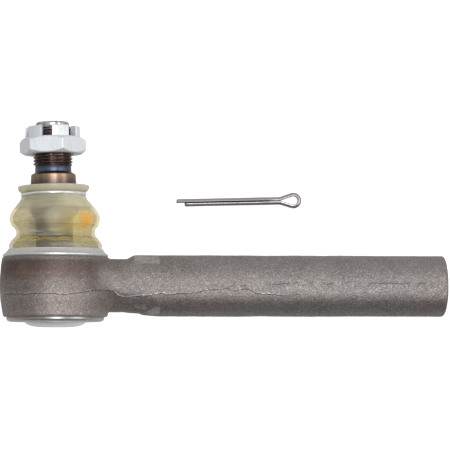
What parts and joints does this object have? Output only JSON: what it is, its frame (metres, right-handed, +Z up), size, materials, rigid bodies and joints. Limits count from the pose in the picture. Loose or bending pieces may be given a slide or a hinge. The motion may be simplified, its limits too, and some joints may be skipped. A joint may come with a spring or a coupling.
{
  "type": "tie rod end",
  "caption": "Female tie rod end: forged head and hollow threaded shank, ball stud with taper and castle nut, dust boot, sprung ball seat, and a loose split pin.",
  "frame": {"origin": "centre of the ball, on the shank's axis", "axes": "+X along the shank towards its open threaded end, +Y along the head's own axis towards the nut (the stud lies leaning 1.45 degrees from it, towards -X), +Z up as the part lies on its side"},
  "size_m": [0.2718, 0.1253, 0.0678],
  "materials": {
    "forged_steel": "sandblasted forging, oiled, speckled grey with a little brown",
    "stud_steel": "machined, heat-tinted bronze and blue",
    "bearing_plastic": "moulded",
    "spring_steel": "drawn wire",
    "zinc_plate": "bright zinc plate, satin",
    "ring_steel": "bright wire",
    "seal_rubber": "moulded",
    "boot_rubber": "translucent, satin, yellowish",
    "bush_plastic": "moulded",
    "pin_steel": "drawn wire"
  },
  "bodies": {
    "head": {"housing": "forged_steel", "upper_race": "bearing_plastic", "lower_race": "bearing_plastic", "preload_spring": "spring_steel", "end_cover": "zinc_plate", "cover_seal": "seal_rubber", "boot_base_ring": "zinc_plate"},
    "boot": {"dust_boot": "boot_rubber"},
    "boot_lip": {"boot_slip_ring": "bush_plastic", "boot_top_ring": "ring_steel"},
    "stud": {"ball_stud": "stud_steel"},
    "nut": {"castle_nut": "zinc_plate"},
    "loose_pin": {"cotter_pin": "pin_steel"}
  },
  "joints": [
    {"name": "heading", "type": "hinge", "parent": "head", "child": "boot", "pos_m": [0, 0, 0], "axis": [0, 1, 0], "continuous": true},
    {"name": "tilt", "type": "hinge", "parent": "boot", "child": "boot_lip", "pos_m": [0, 0, 0], "axis": [0, 0, 1], "range_deg": [-21.4, 18.5], "deforming": ["dust_boot"]},
    {"name": "spin", "type": "hinge", "parent": "boot_lip", "child": "stud", "pos_m": [0, 0, 0], "axis": [-0.0253, 0.9997, 0], "continuous": true},
    {"name": "nut_travel", "type": "slide", "parent": "stud", "child": "nut", "axis": [-0.0253, 0.9997, 0], "range_m": [-0.006, 0.0215]},
    {"name": "pin_lift", "type": "slide", "parent": "head", "child": "loose_pin", "axis": [0, 0, 1], "range_m": [0, 0.05]}
  ]
}
